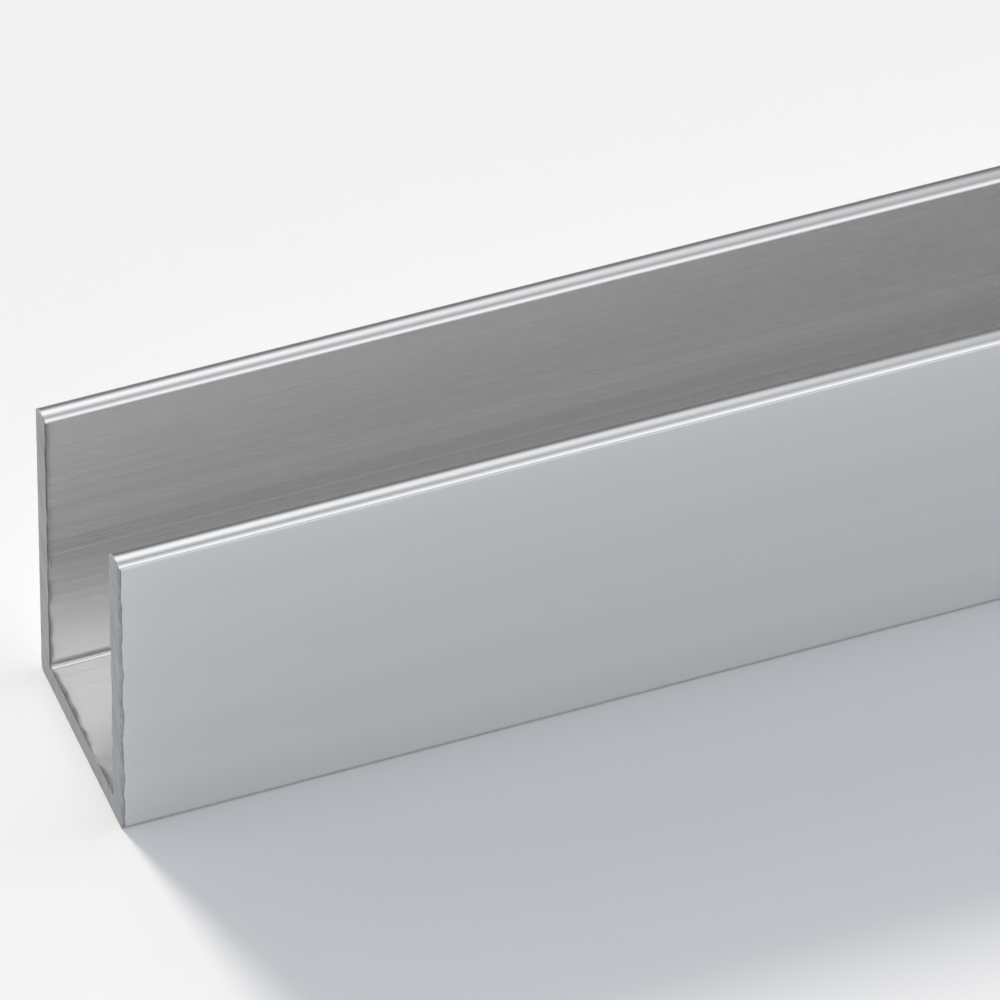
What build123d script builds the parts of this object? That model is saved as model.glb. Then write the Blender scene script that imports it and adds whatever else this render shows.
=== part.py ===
"""A deep U-channel of extruded aluminium, sold as straight stock: one piece, sawn square at both ends.

Millimetres. +X runs along the length and +Z up. The channel lies on its web, slot upwards, and the
origin is on the web's underside, halfway along the length and halfway across the width.
"""

import os

from build123d import *

# Length of the stock
length = 1000.0

# Section, as the die draws it
web_width = 20.0  # over the outside of both flanges
flange_height = 30.0  # from the web's underside to the middle of each flange tip
web_thickness = 2.0
flange_thickness = 2.0
tip_crown = 0.1  # each tip is slightly domed: its middle stands this much above its shoulders

# Corners of the section
root_radius = 0.5  # inside, where each flange rises from the web
heel_radius = 0.5  # outside, under each flange
tip_radius = 0.55  # at both shoulders of each flange tip

# Where the section's faces stand, measured from the middle of the web's underside
outside = web_width / 2
inside = outside - flange_thickness
tip_middle = outside - flange_thickness / 2
shoulder = flange_height - tip_crown

with BuildPart() as channel:
    # The section stands at the first sawn end: down the outside from tip to tip, and back
    # through the slot, which is open above and at both ends
    with BuildSketch(Plane.YZ.offset(-length / 2)) as section:
        with BuildLine():
            first_tip = ThreePointArc((-outside, shoulder), (-tip_middle, flange_height), (-inside, shoulder))
            second_tip = ThreePointArc((inside, shoulder), (tip_middle, flange_height), (outside, shoulder))
            Polyline(second_tip @ 1, (outside, 0), (-outside, 0), first_tip @ 0)
            Polyline(first_tip @ 1, (-inside, web_thickness), (inside, web_thickness), second_tip @ 0)
        make_face()

        # Tips first, then roots, then heels, so that each group is still whole when it is picked
        fillet(section.vertices().group_by(Axis.Y)[-1], radius=tip_radius)
        fillet(section.vertices().group_by(Axis.Y)[1], radius=root_radius)
        fillet(section.vertices().group_by(Axis.Y)[0], radius=heel_radius)

    # Drawn out in one piece to the second sawn end
    extrude(amount=length)

channel.part.label = "channel"

os.makedirs("parts", exist_ok=True)
export_step(channel.part, "parts/channel.step")
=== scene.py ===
import math

import bpy
from mathutils import Matrix, Vector


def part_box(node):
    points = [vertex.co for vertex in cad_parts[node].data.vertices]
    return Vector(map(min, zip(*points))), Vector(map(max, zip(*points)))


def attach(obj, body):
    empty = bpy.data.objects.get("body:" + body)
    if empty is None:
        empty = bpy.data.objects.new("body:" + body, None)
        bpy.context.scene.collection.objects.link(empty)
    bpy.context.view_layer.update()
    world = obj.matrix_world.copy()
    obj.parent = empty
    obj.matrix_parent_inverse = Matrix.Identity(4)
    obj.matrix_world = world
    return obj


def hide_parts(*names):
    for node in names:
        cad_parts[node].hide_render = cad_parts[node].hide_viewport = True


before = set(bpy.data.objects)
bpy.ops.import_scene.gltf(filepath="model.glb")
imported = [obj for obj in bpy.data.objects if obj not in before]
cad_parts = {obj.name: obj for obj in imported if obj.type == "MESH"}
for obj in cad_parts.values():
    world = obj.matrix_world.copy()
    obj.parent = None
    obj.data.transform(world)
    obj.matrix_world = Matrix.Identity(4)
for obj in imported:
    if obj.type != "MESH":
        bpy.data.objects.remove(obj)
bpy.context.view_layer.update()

# The channel is one length of extruded aluminium: a web with two tall flanges, pushed hot through a
# die in one piece, satin anodised, then cut to length by a saw that leaves a fine burr round both
# ends. The tips of the flanges are gently domed.
mm = 0.001
low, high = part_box("channel")
first_cut = low.x
last_cut = high.x
wall = 2.0 * mm
heel_radius = 0.5 * mm
root_radius = 0.5 * mm
tip_corner = 0.13 * mm
tip_lean = math.radians(23.5)  # the dome's slope where it runs into the tip's corners
tip_corner_turn = math.pi / 2 - tip_lean
dome_radius = (wall / 2 - tip_corner * (1 - math.sin(tip_lean))) / math.sin(tip_lean)
dome_centre = high.z - dome_radius
corner_centre = dome_centre + (dome_radius - tip_corner) * math.cos(tip_lean)
corner_steps = 10
dome_steps = 24
point_spacing = 0.3 * mm
tolerance = 0.01 * mm
pen = Vector((first_cut, 0, low.z))


def run_to(y, z):
    """Draws a straight stretch of the outline, with points close together for the saw to mark."""
    stretch = Vector((first_cut, y, z)) - pen
    parts = max(1, round(stretch.length / point_spacing))
    for _ in range(parts):
        bpy.ops.mesh.extrude_region_move(TRANSFORM_OT_translate={"value": stretch / parts})
    pen[:] = (first_cut, y, z)


def turn(y, z, angle, steps):
    """Draws an arc of the outline about a centre. A positive angle turns from +Y towards +Z."""
    centre = Vector((first_cut, y, z))
    bpy.ops.mesh.spin(steps=steps, angle=-angle, center=centre, axis=(1, 0, 0))
    pen[:] = centre + Matrix.Rotation(angle, 3, "X") @ (pen - centre)


def select_vertices(test):
    """Selects the vertices that pass the test, and what lies between them, and stays in edit mode."""
    bpy.ops.object.mode_set(mode="OBJECT")
    mesh = bpy.context.object.data
    mesh.polygons.foreach_set("select", [False] * len(mesh.polygons))
    mesh.edges.foreach_set("select", [False] * len(mesh.edges))
    mesh.vertices.foreach_set("select", [test(vertex.co) for vertex in mesh.vertices])
    bpy.ops.object.mode_set(mode="EDIT")
    bpy.ops.mesh.select_mode(type="VERT")


# Half of the die's opening, drawn from the middle of the web's underside out round the heel, up the
# flange, over its domed tip, and down into the slot to the middle of the web
bpy.ops.object.select_all(action="DESELECT")
bpy.ops.mesh.primitive_plane_add(size=mm, location=pen)
channel = bpy.context.object
channel.name = "aluminium_channel"
bpy.ops.object.transform_apply(location=True, rotation=True, scale=True)
bpy.ops.object.mode_set(mode="EDIT")
bpy.ops.mesh.merge(type="CENTER")
run_to(high.y - heel_radius, low.z)
turn(high.y - heel_radius, low.z + heel_radius, math.pi / 2, corner_steps)
run_to(high.y, corner_centre)
turn(high.y - tip_corner, corner_centre, tip_corner_turn, corner_steps)
turn(high.y - wall / 2, dome_centre, 2 * tip_lean, dome_steps)
turn(high.y - wall + tip_corner, corner_centre, tip_corner_turn, corner_steps)
run_to(high.y - wall, low.z + wall + root_radius)
turn(high.y - wall - root_radius, low.z + wall + root_radius, -math.pi / 2, corner_steps)
run_to(0, low.z + wall)

# The other half is its mirror image, and the whole opening is filled
bpy.ops.object.mode_set(mode="OBJECT")
other_half = channel.modifiers.new("other_half", "MIRROR")
other_half.use_axis = (False, True, False)
other_half.merge_threshold = tolerance
bpy.ops.object.modifier_apply(modifier=other_half.name)
bpy.ops.object.mode_set(mode="EDIT")
bpy.ops.mesh.select_all(action="SELECT")
bpy.ops.mesh.remove_doubles(threshold=tolerance)
bpy.ops.mesh.edge_face_add()

# Drawn out to the last cut, with rings of points close together at both cuts for the burr
ring_depths = [0.06 * mm, 0.14 * mm, 0.26 * mm, 0.5 * mm, 1.0 * mm, 3.0 * mm]
stations = [first_cut + depth for depth in ring_depths]
stations += [last_cut - depth for depth in reversed(ring_depths)]
stations.append(last_cut)
drawn_to = first_cut
for station in stations:
    bpy.ops.mesh.extrude_region_move(TRANSFORM_OT_translate={"value": (station - drawn_to, 0, 0)})
    drawn_to = station
bpy.ops.mesh.select_all(action="SELECT")
bpy.ops.mesh.normals_make_consistent(inside=False)

# A narrow rim runs round each cut face
rim_width = 0.12 * mm
for cut in (first_cut, last_cut):
    select_vertices(lambda co: abs(co.x - cut) < tolerance)
    bpy.ops.mesh.select_mode(type="FACE")
    bpy.ops.mesh.inset(thickness=rim_width, use_even_offset=True)
bpy.ops.object.mode_set(mode="OBJECT")

# The saw laid bare the cut faces, their rims and the first bit of metal behind them. These faces get
# the second material while they still lie square, before the burr is raised.
bare_depth = 0.12 * mm
for face in channel.data.polygons:
    if min(face.center.x - first_cut, last_cut - face.center.x) < bare_depth:
        face.material_index = 1

# The burr: thin ragged metal leans into the slot, and the outside is nicked back along the length.
# Each line gives its name, how deep it reaches behind the cut, which way and how far the metal
# moves, and which points are on it.
burr = (
    ("near_inside", 0.4 * mm, "Y", 0.45 * mm, lambda co: abs(co.y - low.y - wall) < tolerance),
    ("far_inside", 0.4 * mm, "Y", -0.28 * mm, lambda co: abs(co.y - high.y + wall) < tolerance),
    ("web_inside", 0.4 * mm, "Z", 0.28 * mm, lambda co: abs(co.z - low.z - wall) < tolerance),
    ("first_outside", 1.0 * mm, "X", 0.26 * mm, lambda co: co.x < 0 and co.y < low.y + tolerance),
    ("last_outside", 1.0 * mm, "X", -0.26 * mm, lambda co: co.x > 0 and co.y > high.y - tolerance),
)
leaning_level = 0.2  # metal that leans into the slot dips back a little in places
nicked_level = -0.1  # nicked metal never stands out past the cut
ragged = bpy.data.textures.new("saw_burr", "CLOUDS")
ragged.noise_scale = 1.7 * mm
ragged.noise_depth = 2
ragged.contrast = 1.4
for name, depth, axis, strength, test in burr:
    nicked = axis == "X"
    group = channel.vertex_groups.new(name=name)
    for vertex in channel.data.vertices:
        weight = 1 - min(vertex.co.x - first_cut, last_cut - vertex.co.x) / depth
        if weight > 0 and test(vertex.co):
            group.add([vertex.index], weight if nicked else weight**2, "REPLACE")
    wave = channel.modifiers.new(name, "DISPLACE")
    wave.texture = ragged
    wave.texture_coords = "LOCAL"
    wave.vertex_group = name
    wave.direction = axis
    wave.mid_level = nicked_level if nicked else leaning_level
    wave.strength = strength
    bpy.ops.object.modifier_apply(modifier=wave.name)
sharpest_smooth_edge = math.radians(30)
bpy.ops.object.shade_smooth_by_angle(angle=sharpest_smooth_edge)

# Both finishes share one effect: fine parallel lines and soft stretched clouds over the metal. Both
# run along the first axis of the vector that is put in.
pattern_sizes = ("Line Length", "Line Spacing", "Cloud Length", "Cloud Width")
faintest, strongest = 0.3, 0.7  # noise between these is stretched to run from 0 to 1
tool_lines = bpy.data.node_groups.new("tool_lines", "ShaderNodeTree")
tool_lines.interface.new_socket("Vector", in_out="INPUT", socket_type="NodeSocketVector")
for name in pattern_sizes:
    tool_lines.interface.new_socket(name, in_out="INPUT", socket_type="NodeSocketFloat")
for name in ("Lines", "Clouds"):
    tool_lines.interface.new_socket(name, in_out="OUTPUT", socket_type="NodeSocketFloat")
taken_in = tool_lines.nodes.new("NodeGroupInput").outputs
given_out = tool_lines.nodes.new("NodeGroupOutput").inputs
for name, length, width, detail, roughness in (
    ("Lines", "Line Length", "Line Spacing", 3, 0.6),
    ("Clouds", "Cloud Length", "Cloud Width", 2, 0.5),
):
    size = tool_lines.nodes.new("ShaderNodeCombineXYZ")
    tool_lines.links.new(taken_in[length], size.inputs["X"])
    tool_lines.links.new(taken_in[width], size.inputs["Y"])
    tool_lines.links.new(taken_in[width], size.inputs["Z"])
    stretched = tool_lines.nodes.new("ShaderNodeVectorMath")
    stretched.operation = "DIVIDE"
    tool_lines.links.new(taken_in["Vector"], stretched.inputs[0])
    tool_lines.links.new(size.outputs["Vector"], stretched.inputs[1])
    noise = tool_lines.nodes.new("ShaderNodeTexNoise")
    noise.inputs["Scale"].default_value = 1
    noise.inputs["Detail"].default_value = detail
    noise.inputs["Roughness"].default_value = roughness
    tool_lines.links.new(stretched.outputs["Vector"], noise.inputs["Vector"])
    contrast = tool_lines.nodes.new("ShaderNodeMapRange")
    contrast.inputs["From Min"].default_value = faintest
    contrast.inputs["From Max"].default_value = strongest
    tool_lines.links.new(noise.outputs["Fac"], contrast.inputs["Value"])
    tool_lines.links.new(contrast.outputs["Result"], given_out[name])


def metal(name, turned, sizes, tones, roughnesses, line_height):
    """Gives the channel a metal: two tones in clouds, and lines that change its roughness and height."""
    material = bpy.data.materials.new(name)
    material.use_nodes = True
    nodes, links = material.node_tree.nodes, material.node_tree.links
    shader = nodes["Principled BSDF"]
    shader.inputs["Metallic"].default_value = 1
    position = nodes.new("ShaderNodeTexCoord")
    mapping = nodes.new("ShaderNodeMapping")
    mapping.inputs["Rotation"].default_value = turned
    links.new(position.outputs["Object"], mapping.inputs["Vector"])
    marks = nodes.new("ShaderNodeGroup")
    marks.node_tree = tool_lines
    links.new(mapping.outputs["Vector"], marks.inputs["Vector"])
    for socket, size in zip(pattern_sizes, sizes):
        marks.inputs[socket].default_value = size
    tone = nodes.new("ShaderNodeMix")
    tone.data_type = "RGBA"
    tone.inputs["A"].default_value = (*tones[0], 1)
    tone.inputs["B"].default_value = (*tones[1], 1)
    links.new(marks.outputs["Clouds"], tone.inputs["Factor"])
    links.new(tone.outputs["Result"], shader.inputs["Base Color"])
    polish = nodes.new("ShaderNodeMapRange")
    polish.inputs["To Min"].default_value, polish.inputs["To Max"].default_value = roughnesses
    links.new(marks.outputs["Lines"], polish.inputs["Value"])
    links.new(polish.outputs["Result"], shader.inputs["Roughness"])
    relief = nodes.new("ShaderNodeBump")
    relief.inputs["Distance"].default_value = line_height
    links.new(marks.outputs["Lines"], relief.inputs["Height"])
    links.new(relief.outputs["Normal"], shader.inputs["Normal"])
    channel.data.materials.append(material)


# The die drew faint lines along the length, and the anodising left the metal satin
metal(
    "satin_anodised_aluminium",
    turned=(0, 0, 0),
    sizes=(160 * mm, 0.12 * mm, 260 * mm, 4 * mm),
    tones=((0.832, 0.832, 0.832), (0.872, 0.870, 0.866)),
    roughnesses=(0.12, 0.26),
    line_height=0.0003 * mm,
)

# The saw left bare matt metal, with its own shorter lines slanting across the section
metal(
    "sawn_aluminium",
    turned=(math.radians(24), math.pi / 2, 0),
    sizes=(9 * mm, 0.11 * mm, 5 * mm, 0.4 * mm),
    tones=((0.27, 0.278, 0.29), (0.40, 0.412, 0.425)),
    roughnesses=(0.38, 0.6),
    line_height=0.004 * mm,
)

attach(channel, "root")
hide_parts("channel")

# The floor is a wide sheet of matt white paper that the channel lies on. It is part of the studio,
# not of the channel, and wide enough to fill the picture.
floor_size = 80
paper_white = (0.842, 0.853, 0.872, 1)
bpy.ops.object.select_all(action="DESELECT")
bpy.ops.mesh.primitive_plane_add(size=floor_size, location=(0, 0, low.z))
floor = bpy.context.object
floor.name = "floor"
bpy.ops.object.transform_apply(location=True, rotation=True, scale=True)
paper = bpy.data.materials.new("white_paper")
paper.use_nodes = True
paper_shader = paper.node_tree.nodes["Principled BSDF"]
paper_shader.inputs["Base Color"].default_value = paper_white
paper_shader.inputs["Roughness"].default_value = 1
paper_shader.inputs["Specular IOR Level"].default_value = 0
floor.data.materials.append(paper)

# Soft studio light: long diffusers hang over the channel and behind it, parallel to it, in a grey
# room that is dark low down behind and paler in front. A small soft lamp at the back throws the
# shadow to the front.
world = bpy.data.worlds.new("studio")
bpy.context.scene.world = world
world.use_nodes = True
nodes, links = world.node_tree.nodes, world.node_tree.links
direction = nodes.new("ShaderNodeTexCoord").outputs["Generated"]
towards = nodes.new("ShaderNodeSeparateXYZ")
links.new(direction, towards.inputs[0])


def joined(operation, first, second):
    """Adds a Math node to the world and returns its output."""
    node = nodes.new("ShaderNodeMath")
    node.operation = operation
    for socket, value in zip(node.inputs, (first, second)):
        if isinstance(value, (int, float)):
            socket.default_value = value
        else:
            links.new(value, socket)
    return node.outputs[0]


def faded(value, start, end):
    """Adds a node that falls softly from 1 at the start to 0 at the end."""
    node = nodes.new("ShaderNodeMapRange")
    node.interpolation_type = "SMOOTHSTEP"
    node.inputs["From Min"].default_value = start
    node.inputs["From Max"].default_value = end
    node.inputs["To Min"].default_value = 1
    node.inputs["To Max"].default_value = 0
    links.new(value, node.inputs["Value"])
    return node.outputs["Result"]


# Each stop is an angle in degrees, from the horizon behind, over the top, to the horizon in front,
# and how bright the room is there. The ramps hold shares of the brightest.
brightest = 2.0
half_circles = joined("DIVIDE", joined("ARCTAN2", towards.outputs["Z"], towards.outputs["Y"]), math.pi)


def strips(stops):
    """Lights the room in strips along the channel, and returns how bright each direction is."""
    ramp = nodes.new("ShaderNodeValToRGB")
    ramp.color_ramp.interpolation = "EASE"
    elements = ramp.color_ramp.elements
    elements.remove(elements[-1])
    elements[0].position = 0
    elements[0].color = (stops[0][1] / brightest,) * 3 + (1,)
    for degrees, level in stops[1:]:
        elements.new(degrees / 180).color = (level / brightest,) * 3 + (1,)
    links.new(half_circles, ramp.inputs["Fac"])
    return joined("MULTIPLY", ramp.outputs["Color"], brightest)


# The diffuser behind fades out between about 15 and 19 degrees towards the last cut. The two values
# are the sines of those angles.
fade_from, fade_to = 0.255, 0.32
back_strip = strips(((0, 0), (18, 0), (44, 1.05), (50, 1.05), (70, 0)))
back_diffuser = joined("MULTIPLY", back_strip, faded(towards.outputs["X"], fade_from, fade_to))
top_diffuser = ((66, 0.42), (74, 0.42), (86, 1.12), (98, 1.12))
front_of_room = ((116, 0.30), (142, 0.30), (158, 0.95), (180, 0.95))
room = strips(((0, 0.15), (50, 0.15), *top_diffuser, *front_of_room))
diffusers = nodes["Background"]
diffusers.inputs["Color"].default_value = (0.98, 1, 1.035, 1)
links.new(joined("ADD", back_diffuser, room), diffusers.inputs["Strength"])

# The lamp stands behind the channel, turned a little towards the first cut. It is fully bright out
# to its radius and fades to nothing at its edge.
lamp_turn, lamp_height = math.radians(-12), math.radians(38)
lamp_radius, lamp_edge = math.radians(4), math.radians(8)
lamp_radiance = 59.0
facing = nodes.new("ShaderNodeVectorMath")
facing.operation = "DOT_PRODUCT"
facing.inputs[1].default_value = (
    math.sin(lamp_turn) * math.cos(lamp_height),
    math.cos(lamp_turn) * math.cos(lamp_height),
    math.sin(lamp_height),
)
links.new(direction, facing.inputs[0])
off_axis = joined("ARCCOSINE", facing.outputs["Value"], 0)
lamp = nodes.new("ShaderNodeBackground")
lamp.inputs["Color"].default_value = (1.07, 1, 0.9, 1)
lamp_disc = faded(off_axis, lamp_radius, lamp_edge)
links.new(joined("MULTIPLY", lamp_disc, lamp_radiance), lamp.inputs["Strength"])
both = nodes.new("ShaderNodeAddShader")
links.new(diffusers.outputs["Background"], both.inputs[0])
links.new(lamp.outputs["Background"], both.inputs[1])
links.new(both.outputs["Shader"], nodes["World Output"].inputs["Surface"])

# The camera looks along the photograph's line of sight, through a long lens, at the outside of the
# near flange, 3 mm under its tip and 33 mm from the first cut
azimuth, elevation, roll = math.radians(-21.015), math.radians(44.154), math.radians(0.598)
distance = 1.09
aim = Vector((low.x + 32.78 * mm, low.y, low.z + 26.64 * mm))
back = Vector(
    (math.sin(azimuth) * math.cos(elevation), -math.cos(azimuth) * math.cos(elevation), math.sin(elevation))
)
right = Vector((0, 0, 1)).cross(back).normalized()
up = back.cross(right)
turned_right = right * math.cos(roll) + up * math.sin(roll)
turned_up = up * math.cos(roll) - right * math.sin(roll)
camera = bpy.data.objects.new("camera", bpy.data.cameras.new("camera"))
bpy.context.collection.objects.link(camera)
camera.data.sensor_width = 36
camera.data.lens = 484.51
camera.data.clip_start = 0.05
camera.data.clip_end = 200
camera.location = aim + back * distance
camera.rotation_mode = "QUATERNION"
camera.rotation_quaternion = Matrix((turned_right, turned_up, back)).transposed().to_quaternion()
bpy.context.scene.camera = camera
bpy.context.scene.view_settings.view_transform = "Standard"

# Light is followed through many reflections between the walls of the slot
bpy.context.scene.cycles.glossy_bounces = 12
